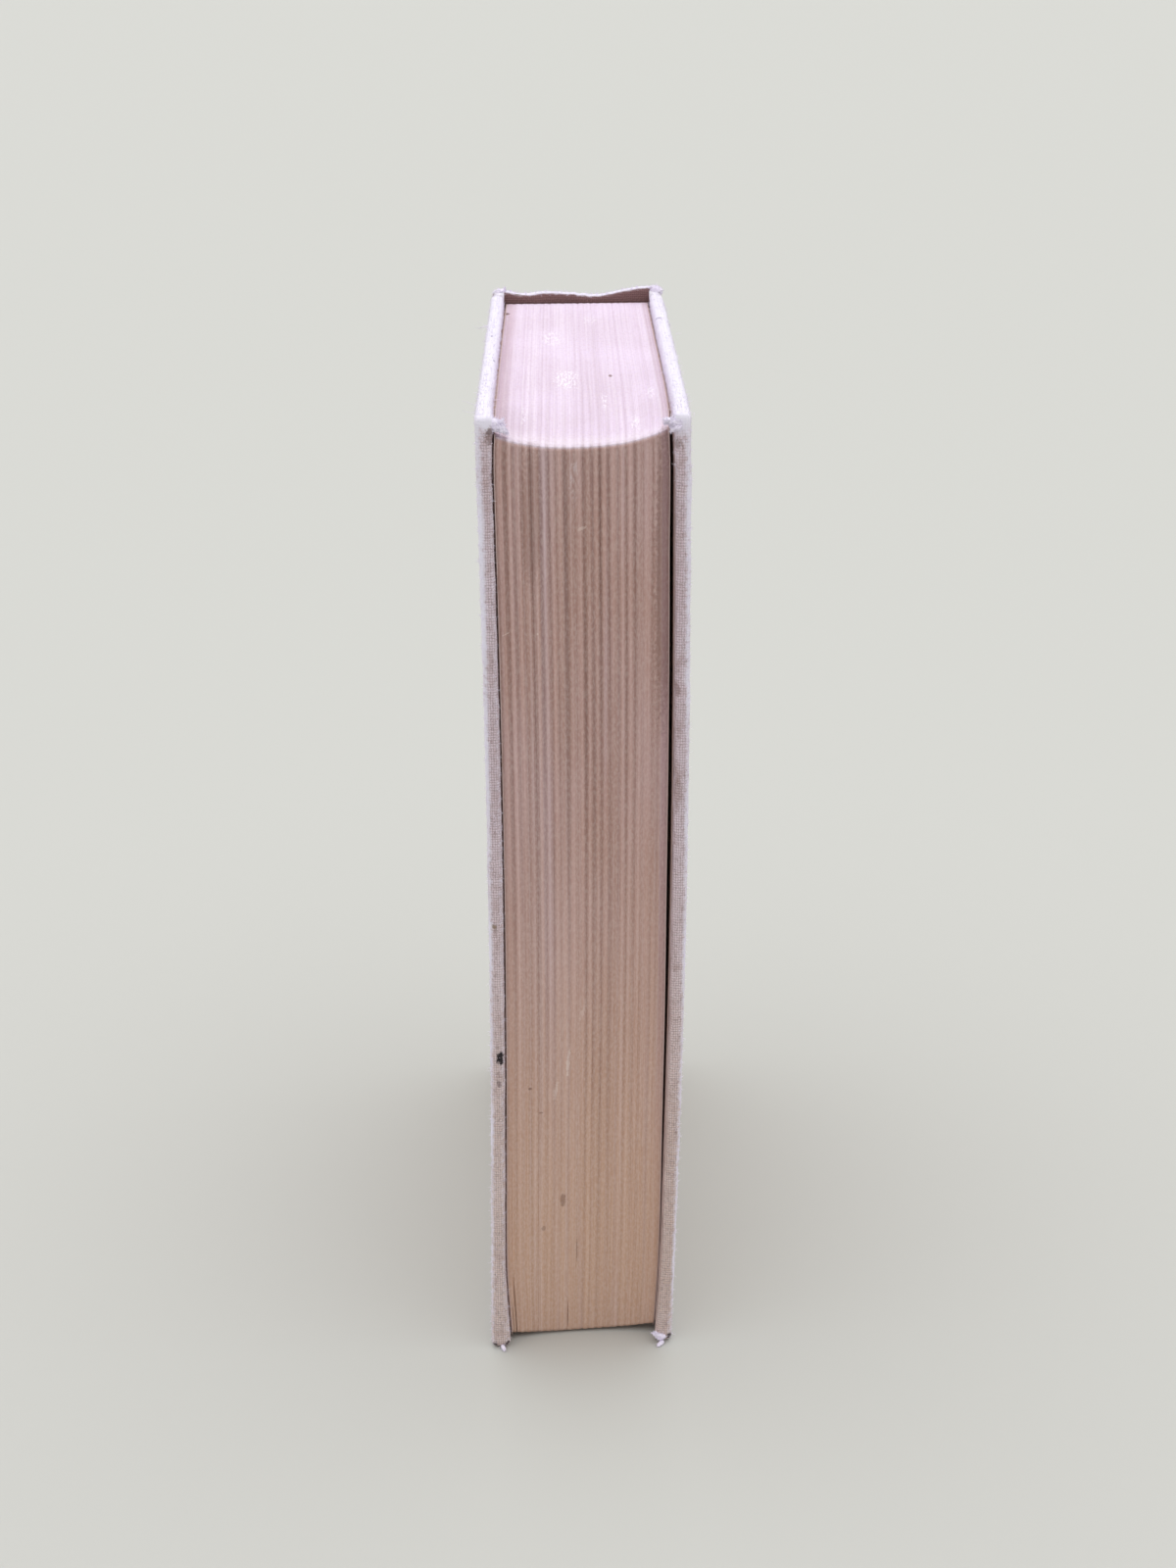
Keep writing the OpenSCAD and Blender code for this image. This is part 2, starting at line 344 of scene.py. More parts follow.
def page_edges():
    """Cut paper edges: a brown fore edge with painted shade in the valleys between the gatherings and beside
    the rear cover, and a paler dusty head with a painted highlight along its front rim.
    """
    material, tree, shader, place = new_material("page_edges", 0.9)
    fibres = mottle(tree, place, 3.0, stretch=(4.0, 1.0, 1.0), detail=4)
    head = mask(tree, calc(tree, "MULTIPLY_ADD", fibres, 0.6, attribute(tree, "head")), 0.45, 1.05)
    split = put(tree, "ShaderNodeSeparateXYZ", {0: place}).outputs
    blotch = mask(tree, mottle(tree, place, 0.04, stretch=(1.5, 1.0, 0.6)), 0.3, 0.7)
    tan = mixed(tree, blotch, colour("#cfaea8"), colour("#c8a499"))
    fore = mixed(tree, mask(tree, split["Z"], 140, 15), tan, colour("#d2ae96"))
    hue = mottle(tree, place, 0.45, stretch=(1.0, 0.05, 0.012), detail=1)
    upper = mask(tree, split["Z"], 40, 190)
    browner = calc(tree, "MULTIPLY_ADD", upper, 0.2, 0.12)
    fore = tinted(tree, fore, mask(tree, hue, 0.52, 0.7), browner, "#835f50")
    greyer = calc(tree, "MULTIPLY_ADD", upper, 0.25, 0.1)
    fore = tinted(tree, fore, mask(tree, hue, 0.48, 0.3), greyer, "#cbbcca")
    pale = mixed(tree, blotch, colour("#e4d4e8"), colour("#ddccde"))
    # Painted highlight along the front rim of the head
    pale = tinted(tree, pale, mask(tree, split["Y"], -54, -63), 0.7, "#efe5f0")
    base = mixed(tree, head, fore, pale)
    # Browner first leaves on the head, and painted shade on the last leaves where they lie beside the rear
    # cover
    base = tinted(tree, base, attribute(tree, "outer"), 0.65, "#b8989e")
    streak = mottle(tree, place, 0.8, stretch=(3.0, 0.04, 0.03), detail=3)
    tone = calc(tree, "MULTIPLY", attribute(tree, "leaf_tone"), 0.5)
    lines = calc(tree, "MULTIPLY_ADD", streak, 0.5, tone)
    base = tinted(tree, base, mask(tree, lines, 0.5, 0.2), 0.15, "#8a6a60")
    lighter = calc(tree, "MULTIPLY_ADD", head, 0.32, 0.18)
    base = tinted(tree, base, mask(tree, lines, 0.45, 0.8), lighter, "#f3eaf3")
    # Painted shade in the valleys between the gatherings, strongest high on the fore edge and faint on the
    # head
    base = tinted(tree, base, attribute(tree, "valley"), 0.43, "#7d5a52")
    grain = mask(tree, mottle(tree, place, 1.4, stretch=(2.0, 1.0, 0.8), detail=3), 0.35, 0.7)
    base = tinted(tree, base, grain, 0.2, "#f0e2dc")
    dusty = mask(tree, mottle(tree, place, 0.9, stretch=(2.2, 0.7, 1.0), detail=5), 0.46, 0.68)
    base = tinted(tree, base, dusty, calc(tree, "MULTIPLY", head, 0.16), "#c0a2ae")
    broken = mask(tree, mottle(tree, place, 1.0, stretch=(2.6, 0.5, 0.5), detail=5), 0.42, 0.66)
    # Stains: the centre, half-sizes and strength of each
    for centre, size, strength in [
        ((-9.6, -64, 188), (2.4, 6, 18), 0.25), ((-4.2, -60, 35), (0.75, 6, 2.2), 0.45),
        ((-8.4, -61, 28), (0.6, 6, 0.8), 0.35), ((-1.2, -60, 22), (0.16, 6, 4), 0.5),
        ((-11, -62, 63), (0.45, 6, 0.4), 0.6), ((-8.8, -61, 57), (0.6, 6, 0.25), 0.4),
        ((6.4, -10.5, 203), (0.5, 1.2, 3), 0.7), ((-16.2, 49, 204), (0.8, 1.6, 3), 0.8),
        ((-12.5, -50, 203), (5.0, 15, 3), 0.08), ((15.9, -62, 176), (2.4, 7, 40), 0.35),
    ]:
        base = tinted(tree, base, spot(tree, place, centre, size), strength, "#6e4a3c")
    # Pale patches where the surface is rubbed off, nearly all on the head
    for centre, size, strength in [
        ((-2.8, -13, 203), (3.4, 10, 3), 0.75), ((-5.8, 25, 203), (2.8, 9, 3), 0.6),
        ((4.8, -32, 203), (0.7, 8, 3), 0.7), ((10.4, -50, 203), (1.1, 7, 3), 0.8),
        ((14, -29, 203), (0.9, 5, 3), 0.7), ((-1.4, -64, 194), (1.0, 6, 5), 0.3),
        ((3.0, 44, 203), (2.2, 6, 3), 0.4), ((-11, -44, 203), (0.8, 12, 3), 0.5),
    ]:
        patch = calc(tree, "MULTIPLY", spot(tree, place, centre, size, ragged=2.2), broken)
        base = tinted(tree, base, patch, strength, "#f8f4fa")
    # Scratches, each with its turn in degrees too
    for centre, size, turn, strength in [
        ((-14.6, -63, 164), (0.9, 6, 0.12), 25, 0.5), ((-3, -61, 68.6), (0.42, 6, 4.2), -4, 0.5),
        ((-5.6, -61, 62), (0.45, 6, 3.0), -8, 0.32), ((0.2, -61, 81), (0.45, 6, 2.8), -16, 0.26),
        ((-0.2, -63.6, 185), (1.1, 6, 0.35), 20, 0.4), ((-8.6, -63.6, 164), (0.25, 6, 0.35), 0, 0.5),
    ]:
        base = tinted(tree, base, spot(tree, place, centre, size, turn, 2.0), strength, "#eee0d8")
    relief = calc(tree, "MULTIPLY_ADD", streak, 0.4, calc(tree, "MULTIPLY", fibres, 0.6))
    surface(tree, shader, base, relief, 0.07)
    return material


def ridges(chance):
    """The ridge that each leaf lies in, and where in it from 0 to 1; the ridges aren't all as wide."""
    inner = [LEAVES * number + chance.choice((-1, -1, 0, 1, 1)) for number in range(1, GATHERINGS)]
    seams = [0, *inner, GATHERINGS * LEAVES]
    return [
        (number, (leaf + 0.5 - low) / (high - low))
        for number, (low, high) in enumerate(zip(seams, seams[1:]))
        for leaf in range(low, high)
    ]


def build_pages():
    """All the leaves as one closed mesh with two columns of vertices a leaf, their tone, the browner first
    leaves, and painted shade in their valleys and beside the rear cover.
    """
    chance = random.Random(11)
    count = GATHERINGS * LEAVES
    bm = gridded_box(range(2 * count), rows(0, 1, 18, 0.85), rows(0, 1, 34, 0.85))
    names = ("leaf_tone", "valley", "head", "outer")
    tone, valley, head, outer = (bm.verts.layers.float.new(name) for name in names)
    ridge = ridges(chance)
    fore_offset = [chance.gauss(0, fore_trim) for _ in range(count)]
    end_offset = [abs(chance.gauss(0, end_trim)) for _ in range(count)]
    bands = [chance.uniform(-band_trim, band_trim) for _ in range(GATHERINGS)]
    depths = [chance.uniform(0.7, 1.2) for _ in range(GATHERINGS + 1)]
    depths[-4:] = [depth * 0.55 for depth in depths[-4:]]
    tones = [
        0.4 * chance.random() + 0.6 * noise.noise((leaf * 0.21, 3.7, 0.0)) + 0.3 for leaf in range(count)
    ]
    for vert in bm.verts:
        column, back, up = round(vert.co.x), vert.co.y, vert.co.z
        leaf, right = divmod(column, 2)
        x = first_x + leaf_t * (leaf + (0.9 if right else 0.1))
        gathering, share = ridge[leaf]
        fade = smooth(0.0, 1.0, up)
        dip = (0.5 + 0.5 * math.cos(2 * math.pi * share)) ** 1.4
        seam = gathering if share < 0.5 else gathering + 1
        dip *= depths[seam] + 0.25 * noise.noise((seam * 3.1, up * 5.0, 7.0))
        valley_d = valley_tail + (valley_head - valley_tail) * fade
        lie_back = valley_d * dip * (1 - 0.5 * smooth(0.98, 1.0, up))
        lie_back += bands[gathering] * (0.3 + 0.7 * fade) * (1 - dip) + fore_offset[leaf]
        lie_back += leaf_wave * noise.noise((leaf * 0.4, up * 9.0, 1.0))
        z = leaf_tail_z + leaf_h * up
        for first, last, low, high, depth in PARTED:
            above = z - leaf_tail_z
            if first <= leaf <= last and low <= above <= high:
                lie_back += depth * min(1.0, 3 * (high - above) / (high - low))
        end_dip = end_offset[leaf] + 0.07 * dip
        z += -end_dip if up > 0.5 else end_dip
        worn = corner_worn if back == 0.0 and up in (0.0, 1.0) else 0.0
        z += -worn if up > 0.5 else worn
        vert.co = leaf_point(x, 1 - back, z, lie_back + worn)
        vert[tone] = tones[leaf]
        # How much painted shade a valley gets: all of it on the fore edge, and on the head only near its
        # front
        on_head = head_line * smooth(0.6, 0.0, back) if up == 1.0 else 0.0
        vert[valley] = min(max(dip, 0.0), 1.0) * (0.2 + 0.8 * fade) * (1.0 if back == 0.0 else on_head)
        vert[head] = (1.0 if back > 0.0 else 0.75) if up == 1.0 else 0.0
        # The first leaves are browner paper on the head; the last leaves get painted shade beside the rear
        # cover, on the upper fore edge and more faintly on the head
        first_strip = 0.75 * smooth(34, 8, leaf) * vert[head]
        rear_side_shade = smooth(count - 15, count - 12, leaf) * (1 - 0.5 * vert[head]) * smooth(0.1, 0.7, up)
        vert[outer] = max(first_strip, rear_side_shade)
    return bm


pages = new_piece(build_pages(), "pages", page_edges(), flat=True)
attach(pages, "text_block")
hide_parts("page_block")


# Free endpapers: the loose half of the folded sheet that joins each cover to the pages.
# Stout wove paper, tipped along its back edge to the first and the last leaf, and browned
# round its edges like the leaves that it lies against.
SIDES = ((FRONT, "front"), (REAR, "rear"))
endpaper_t = 0.2
browned_d = 12.0
trim_wave = 0.12
cockle = 0.03


def endpaper(name):
    """Wove paper that has browned from its edges inwards and is dotted with foxing."""
    material, tree, shader, place = new_material(name, 0.85)
    cloud = mottle(tree, place, 0.07, detail=6)
    base = mixed(tree, mask(tree, cloud, 0.3, 0.7), colour("#dccbbd"), colour("#d3bead"))
    ragged = calc(tree, "MULTIPLY_ADD", mottle(tree, place, 0.22, detail=5), 0.9, attribute(tree, "browned"))
    base = tinted(tree, base, mask(tree, ragged, 0.45, 1.35), 0.6, "#cfb3b4")
    for scale, low, strength in ((0.09, 0.66, 0.3), (0.35, 0.68, 0.45), (0.8, 0.7, 0.35)):
        foxing = mask(tree, mottle(tree, place, scale, detail=3), low, low + 0.06)
        base = tinted(tree, base, foxing, strength, "#8a5f3f")
    fibres = mottle(tree, place, 2.2, detail=5)
    base = tinted(tree, base, mask(tree, fibres, 0.3, 0.7), 0.16, "#a98f76")
    surface(tree, shader, base, fibres, 0.05)
    return material


def edge_browning(*inwards):
    """How brown a sheet of paper is at these distances from its open edges: 1 at an edge, 0 further in."""
    return smooth(browned_d, 0.0, min(inwards))


def free_endpaper(side):
    lying_x = first_x if side == FRONT else last_x
    bm = gridded_box([0.0, endpaper_t], rows(0, 1, 24, 0.4), rows(0, 1, 40, 0.4))
    browned = bm.verts.layers.float.new("browned")
    for vert in bm.verts:
        off, back, up = vert.co
        vert[browned] = edge_browning(back * leaf_d, up * leaf_h, (1 - up) * leaf_h)
        trim = trim_wave * noise.noise((up * 6.0, side * 5.0, 0.0))
        vert.co = leaf_point(lying_x, 1 - back, leaf_tail_z + leaf_h * up, trim)
        vert.co.x += side * (off + cockle * noise.noise((back * 5.0, up * 7.0, side * 3.0)))
    if side == FRONT:
        bmesh.ops.reverse_faces(bm, faces=bm.faces)
    return bm


free_paper = endpaper("free_endpaper")
for side, word in SIDES:
    leaf = new_piece(free_endpaper(side), word + "_free_endpaper", free_paper)
    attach(leaf, "text_block")
    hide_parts(word + "_flyleaf")


# Spine lining: a strip of open cotton cloth glued over the backs of the gatherings.
# It is stiff with old brown glue, and nothing of it shows while the book stands closed.
def weave_group():
    """Plain weave on a cloth's own UV map in millimetres: its height, and a random value for each thread."""
    group, given = new_group("weave", ["Threads"], ["Unevenness"], ["Height", "Thread"])
    flat = put(group, "ShaderNodeUVMap", uv_map="cloth").outputs[0]
    counted = vector_calc(group, "MULTIPLY", flat, given["Threads"])
    wander = put(group, "ShaderNodeTexNoise", {"Vector": flat, "Scale": 0.35, "Detail": 2.0}).outputs["Color"]
    shifting = {0: wander, "Scale": given["Unevenness"]}
    shift = put(group, "ShaderNodeVectorMath", shifting, operation="SCALE").outputs[0]
    split = put(group, "ShaderNodeSeparateXYZ", {0: vector_calc(group, "ADD", counted, shift)}).outputs
    warp_number, weft_number = (calc(group, "FLOOR", split[axis]) for axis in ("X", "Y"))
    half_turns = [calc(group, "MULTIPLY", calc(group, "FRACT", split[axis]), math.pi) for axis in ("X", "Y")]
    warp, weft = (calc(group, "SINE", angle) for angle in half_turns)
    over = calc(group, "FLOORED_MODULO", calc(group, "ADD", warp_number, weft_number), 2.0)

    def on_top(of_warp, of_weft):
        """Takes the value of the warp or of the weft, whichever passes over the other."""
        return put(group, "ShaderNodeMix", {0: over, 2: of_warp, 3: of_weft}, data_type="FLOAT").outputs[0]

    warp_top = calc(group, "MULTIPLY", warp, calc(group, "MULTIPLY_ADD", weft, 0.5, 0.5))
    weft_top = calc(group, "MULTIPLY", weft, calc(group, "MULTIPLY_ADD", warp, 0.5, 0.5))
    height = on_top(warp_top, weft_top)
    seed = calc(group, "MULTIPLY_ADD", over, 517.3, on_top(warp_number, weft_number))
    thread = put(group, "ShaderNodeTexWhiteNoise", {"W": seed}, noise_dimensions="1D").outputs["Value"]
    put(group, "NodeGroupOutput", {"Height": height, "Thread": thread})
    return group


WEAVE = weave_group()


def lining_cloth():
    """Thin cotton soaked in glue; its node has no map of its own, so its threads follow the part's axes."""
    material, tree, shader, place = new_material("spine_lining_cloth", 0.8)
    grid = mottle(tree, place, 1.2, stretch=(1.0, 1.0, 6.0), detail=2)
    base = mixed(tree, mask(tree, grid, 0.4, 0.6), colour("#cfc4b2"), colour("#a58c68"))
    surface(tree, shader, base, grid, 0.1)
    return material


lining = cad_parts["spine_lining"]
lining.data.materials.clear()
lining.data.materials.append(lining_cloth())


# Cover boards and spine strip: greyboard pressed from waste paper, cut square with a guillotine.
# The two boards have bowed with age and their fore corners have swollen from knocks.
# The thinner strip of the same board stiffens the spine.
outer_x = book_t / 2
cloth_t = 0.35
board_t = 2.2
board_outer_x = outer_x - cloth_t
board_inner_x = board_outer_x - board_t
turn_in_x = board_inner_x - cloth_t
turn_in = 15.0
edge_r = 1.1
corner_r = 1.8
cover_back_y = 57.6
# How far in from a cover's edges the cloth starts to be rubbed and where it is fully worn: all round,
# on the outer side, where the whitening is wear and a painted highlight on the rounded edge; under the head
# and further down on its tucked-in side, where it is painted light on a face in shade; and at the head
# corners, less far on the front cover's outer side; and how strongly the inner fore edge is thumbed
rub_from = 2.8
rub_full = 0.9
head_rub_from = 2.2
head_rub_full = 0.5
tucked_painted_light = 1.4
corner_rub = 4.5
front_corner_rub = 2.5
thumb_rub = 0.6
# How far the dirt of handling reaches in from the fore edge
handled_from = 14.0
handled_full = 1.0


def cover_rows(low, high, count):
    """Places across a cover, edge to edge, with the inner edges of the turned-in cloth among them."""
    near = [0.0, 2.4, 4.2, 6.2, 8.6, 11.6]
    middle = rows(low + turn_in, high - turn_in, count)
    return [low + d for d in near] + middle + [high - d for d in reversed(near)]


def rounded(bm, edges, radius):
    bmesh.ops.bevel(bm, geom=edges, offset=radius, segments=3, profile=0.5, affect="EDGES", material=-1)


def cover_slab(side, inset):
    """A cover with rounded corners and edges, an inset inside its cloth, and how worn each vertex is."""
    xs = sorted((side * (turn_in_x + inset), side * (outer_x - inset)))
    ys = cover_rows(fore_y + inset, cover_back_y - inset, 34)
    zs = cover_rows(inset, cover_h - inset, 62)
    bm = gridded_box(xs, ys, zs)
    ends = (zs[0], zs[-1])
    corners = [edge for edge in bm.edges if all(v.co.y == ys[0] and v.co.z in ends for v in edge.verts)]
    rounded(bm, corners, corner_r - inset)
    rims = [edge for edge in bm.edges if edge.calc_face_angle() > 1.0]
    rounded(bm, rims, edge_r - inset)
    wear, handled = (bm.verts.layers.float.new(name) for name in ("wear", "handled"))
    for vert in bm.verts:
        x, y, z = vert.co
        outward = (abs(x) - turn_in_x) / (outer_x - turn_in_x)
        from_fore, from_tail, from_head = y - ys[0], z - zs[0], zs[-1] - z
        reach = 0.2 * smooth(60, cover_h, z)
        # Rubbed all round on the outer side only: wear, and a painted highlight where the rounded edge meets
        # the light
        rim = smooth(rub_from, rub_full, min(from_fore, from_tail, from_head))
        rim *= smooth(0.58 - reach, 0.98 - reach, outward)
        patchy = 0.95 + 0.35 * noise.noise((side * 3.0, y * 0.07, z * 0.07))
        # Further down on the tucked-in side, the head's whitening is painted light on a face that lies in
        # shade
        tucked = tucked_painted_light * (1 - outward)
        head_rub = 1.25 * smooth(head_rub_from + tucked, head_rub_full + tucked, from_head)
        drop = corner_rub if side == REAR else corner_rub - front_corner_rub * outward
        corner = smooth(drop + 1.5, drop - 1.5, from_head) * smooth(3.0, 1.0, from_fore)
        thumbed = thumb_rub * smooth(0.4, 0.1, outward) * smooth(rub_from, rub_full, from_fore)
        thumbed *= 1.0 if side == FRONT else smooth(185, 200, z)
        vert[wear] = max(rim * patchy, head_rub, corner, thumbed)
        vert[handled] = smooth(handled_from, handled_full, from_fore)
    return bm


def age_cover(bm, side):
    """Moves a cover's vertices with the lean, the bow of its board and its swollen corners."""
    for vert in bm.verts:
        x, y, z = vert.co
        inner = (outer_x - abs(x)) / (outer_x - turn_in_x)
        y += side * lean / 2
        x += bow(side, y, z) - side * swell(side, y, z) * inner
        vert.co = (x, y, z)


def greyboard():
    """Grey-brown pulp board with dark and light specks of the paper that it was made from."""
    material, tree, shader, place = new_material("greyboard", 0.9)
    pulp = mottle(tree, place, 0.6, detail=5)
    base = mixed(tree, mask(tree, pulp, 0.35, 0.65), colour("#a3947d"), colour("#877964"))
    specks = mask(tree, mottle(tree, place, 2.5, detail=2), 0.66, 0.72)
    base = mixed(tree, specks, base, colour("#cfc6b4"))
    surface(tree, shader, base, pulp, 0.15)
    return material


board_material = greyboard()
for side, word in SIDES:
    board_bm = cover_slab(side, cloth_t + 0.02)
    age_cover(board_bm, side)
    board = new_piece(board_bm, word + "_cover_board", board_material)
    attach(board, word + "_cover")
    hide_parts(word + "_board")
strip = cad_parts["spine_strip"]
strip.data.materials.clear()
strip.data.materials.append(board_material)


# Cover cloth: pale undyed book cloth, glued over each board and turned in 15 mm over its edges.
# Handling has worn it to a whitish fuzz along the edges and has left dirt on the fore edges.
# The whitening is partly painted light on the outer rims and the tucked-in heads, and the inside of
# the spine and the hollows of the weave carry painted shade.
cover_fibres = 5200
# Nick in the head of the rear cover's cloth: where along the cover, its half-width and its depth
head_nick = [(31.0, 2.2, 0.25)]
# The noise that roughens cloth would follow the clock without a seed
noise.seed_set(7)


def book_cloth(name, marks=()):
    """Plain-woven cloth: uneven threads with painted shade between them, a worn whitish nap along the edges
    that is partly painted light, grime and painted shade, and a few marks.
    """
    material, tree, shader, place = new_material(name, 0.95)
    threads = {"Threads": (2.1, 1.8, 0.0), "Unevenness": 0.9}
    weave = put(tree, "ShaderNodeGroup", threads, node_tree=WEAVE).outputs
    height = put(tree, "ShaderNodeSeparateXYZ", {0: place}).outputs["Z"]
    cloud = mask(tree, mottle(tree, place, 0.03, detail=4), 0.35, 0.65)
    upper = mixed(tree, cloud, colour("#e9d7e1"), colour("#dfc9d0"))
    lower = mixed(tree, cloud, colour("#edd7ce"), colour("#e3cabd"))
    base = mixed(tree, mask(tree, height, 30, 140), lower, upper)
    base = tinted(tree, base, weave["Thread"], 0.3, "#f3e9ee")
    # Painted shade in the hollows between the threads
    base = tinted(tree, base, mask(tree, weave["Height"], 0.7, 0.2), 0.4, "#927672")
    stains = mask(tree, mottle(tree, place, 0.3, detail=4), 0.5, 0.75)
    handled = calc(tree, "MULTIPLY_ADD", attribute(tree, "handled"), 0.28, 0.08)
    base = tinted(tree, base, stains, handled, "#b0918a")
    for stretch in ((1.0, 1.0, 0.2), (1.0, 0.2, 1.0)):
        slubs = mask(tree, mottle(tree, place, 0.9, stretch, detail=3), 0.55, 0.7)
        base = tinted(tree, base, slubs, 0.22, "#9c7d72")
    grains = mask(tree, mottle(tree, place, 1.9, detail=2), 0.55, 0.68)
    base = tinted(tree, base, grains, 0.35, "#8a706c")
    # Grime in the joint grooves, and painted shade on the inside of the spine
    base = mixed(tree, attribute(tree, "grime_and_shade"), base, colour("#8c6c68"))
    rubbed = mottle(tree, place, 1.1, detail=4)
    wear = attribute(tree, "wear")
    bare = mask(tree, calc(tree, "MULTIPLY_ADD", wear, 0.45, rubbed), 0.55, 0.95)
    worn = calc(tree, "MULTIPLY", wear, bare)
    # Whitish where rubbed: worn nap, and partly painted light on the covers' outer rims and tucked-in heads
    base = tinted(tree, base, worn, 0.92, "#f2eefa")
    for centre, size, dark, strength in marks:
        base = tinted(tree, base, spot(tree, place, centre, size, ragged=1.6), strength, dark)
    shader.inputs["Sheen Weight"].default_value = 0.3
    shader.inputs["Sheen Roughness"].default_value = 0.45
    shader.inputs["Sheen Tint"].default_value = colour("#f0eaf6")
    relief = calc(tree, "MULTIPLY", weave["Height"], calc(tree, "MULTIPLY_ADD", worn, -0.65, 1.0))
    surface(tree, shader, base, calc(tree, "MULTIPLY_ADD", rubbed, 0.5, relief), 0.16)
    return material


def map_cloth(bm):
    """Lays the cloth out flat in millimetres, face by face, so that its threads run along its edges."""
    flat = bm.loops.layers.uv.new("cloth")
    for face in bm.faces:
        normal = [abs(n) for n in face.normal]
        across = normal.index(max(normal))
        u, v = ((1, 2), (0, 2), (1, 0))[across]
        for loop in face.loops:
            loop[flat].uv = (loop.vert.co[u] + 100, loop.vert.co[v] + 100)


def nap_roots(bm, count, lowest_z, chance):
    """Places on the worn parts of a cloth where loose fibres stand, each with the way that it faces."""
    wear = bm.verts.layers.float["wear"]
    bm.normal_update()
    faces = [face for face in bm.faces if face.normal.z > -0.3 and face.calc_center_median().z > lowest_z]
    weights = [face.calc_area() * sum(vert[wear] for vert in face.verts) for face in faces]
    roots = []
    for face in chance.choices(faces, weights, k=count):
        shares = [chance.random() for _ in face.verts]
        place = sum((vert.co * share for vert, share in zip(face.verts, shares)), Vector()) / sum(shares)
        roots.append((place, face.normal.copy()))
    return roots


def cover_cloth(side):
    bm = cover_slab(side, 0.0)
    age_cover(bm, side)
    for vert in bm.verts:
        rough = noise.noise_vector(vert.co * 0.28) * 0.14 + noise.noise_vector(vert.co * 1.1) * 0.07
        if side == REAR:
            rough.z -= bells(head_nick, vert.co.y) * smooth(200, cover_h, vert.co.z)
        vert.co += rough
        vert.co.z = max(vert.co.z, 0.0)
    body = dict(SIDES)[side] + "_cover"
    nap[body] = nap_roots(bm, cover_fibres, 0.4, random.Random(20 + side))
    inside = [
        face for face in bm.faces
        if face.normal.x * side < -0.9
        and fore_y + turn_in < face.calc_center_median().y - side * lean / 2 < cover_back_y - edge_r
        and turn_in < face.calc_center_median().z < cover_h - turn_in
    ]
    bmesh.ops.delete(bm, geom=inside, context="FACES")
    bmesh.ops.solidify(bm, geom=bm.faces, thickness=cloth_t)
    map_cloth(bm)
    return bm


nap = {}
cover_marks = {
    FRONT: [
        ((-17.0, -65, 72), (1.0, 1.8, 2.0), "#231c1d", 1.0),
        ((-17.3, -65, 66), (0.6, 1.8, 1.0), "#75605f", 0.6),
        ((-17.9, -65, 102.2), (0.6, 1.6, 0.6), "#8a7350", 0.7),
        ((-19.2, -65, 0.9), (0.8, 1.6, 0.8), "#574a48", 1.0),
        ((-16.4, -64.8, 1.4), (0.5, 1.6, 0.9), "#574a48", 1.0),
        ((-16.9, -64.9, 203.2), (1.6, 1.6, 2.2), "#8d716b", 0.7),
        ((-17.2, -64.9, 203.9), (0.7, 1.6, 0.7), "#5b4a48", 0.45),
        ((-17.5, -14, 207), (0.3, 1.4, 1.0), "#8f87a0", 1.0),
        ((-18.6, 9, 207), (0.3, 1.0, 1.0), "#a39bb0", 1.0),
    ],
    REAR: [
        ((19.0, -63.2, 1.6), (0.7, 1.6, 1.2), "#574a48", 1.0),
        ((18.0, -63, 93), (0.4, 1.5, 0.6), "#6d5f66", 0.7),
        ((18.4, -62.8, 152.2), (0.9, 1.6, 1.9), "#8f6f68", 0.5),
        ((18.9, -62.9, 131), (1.3, 1.6, 4.5), "#9c7d72", 0.4),
        ((17.6, -62.8, 201.2), (1.6, 1.6, 1.3), "#8d7570", 0.6),
        # Grey in the nick at the rear cover's head: painted shade
        ((18.0, 30.6, 206.6), (1.2, 0.6, 1.5), "#a9a0b8", 1.0),
    ],
}
for side, word in SIDES:
    material = book_cloth(word + "_book_cloth", cover_marks[side])
    cloth = new_piece(cover_cloth(side), word + "_cover_cloth", material)
    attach(cloth, word + "_cover")
    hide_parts(word + "_cloth")


# Joint cloth: where the same cloth dips into the groove between a board and the spine.
# It is glued to neither, bends when the cover opens, and is folded into a wad at head and tail.
groove_d = 0.8
groove_flare = 0.28
groove_soil = 0.35
joint_cover_y = 57.2
joint_spine_y = 62.6
joint_r = 0.6
wad_h = 3.0
wad_slope = 1.2
pucker = 0.12


def joint_end(side, y):
    """A place halfway up the outer side of a joint, in metres, where its bend starts or ends."""
    return (side * outer_x * MM, (y + side * lean / 2) * MM, cover_h / 2 * MM)


def joint_cloth(side):
    bm = gridded_box([0.0, 1.0], rows(0, 1, 14), rows(0, cover_h, 90, 0.4))
    wear, grime_and_shade = (bm.verts.layers.float.new(name) for name in ("wear", "grime_and_shade"))
    for vert in bm.verts:
        out, along, z = vert.co
        from_end = min(z, cover_h - z)
        vert[wear] = smooth(3.0, 0.5, from_end)
        vert[grime_and_shade] = groove_soil * (1 - (2 * along - 1) ** 2) * smooth(1.0, 8.0, from_end)
        outer = outer_x - groove_d + groove_flare * abs(2 * along - 1) ** 3
        thick = cloth_t + cloth_t * smooth(turn_in + 0.5, turn_in - 0.5, from_end)
        wad = smooth(wad_h + wad_slope, wad_h - wad_slope, from_end)
        thick += (outer - turn_in_x - 2 * cloth_t) * wad
        y = joint_cover_y + (joint_spine_y - joint_cover_y) * along + side * lean / 2
        vert.co = (outer - thick * (1 - out), y, z)
    ends = [
        edge for edge in bm.edges
        if edge.calc_face_angle() > 0.9 and all(v.co.z in (0.0, cover_h) for v in edge.verts)
    ]
    rounded(bm, ends, joint_r)
    for vert in bm.verts:
        vert.co += noise.noise_vector(vert.co * 0.5) * pucker
    if side == FRONT:
        bmesh.ops.scale(bm, vec=(-1, 1, 1), verts=bm.verts)
        bmesh.ops.reverse_faces(bm, faces=bm.faces)
    map_cloth(bm)
    return bm


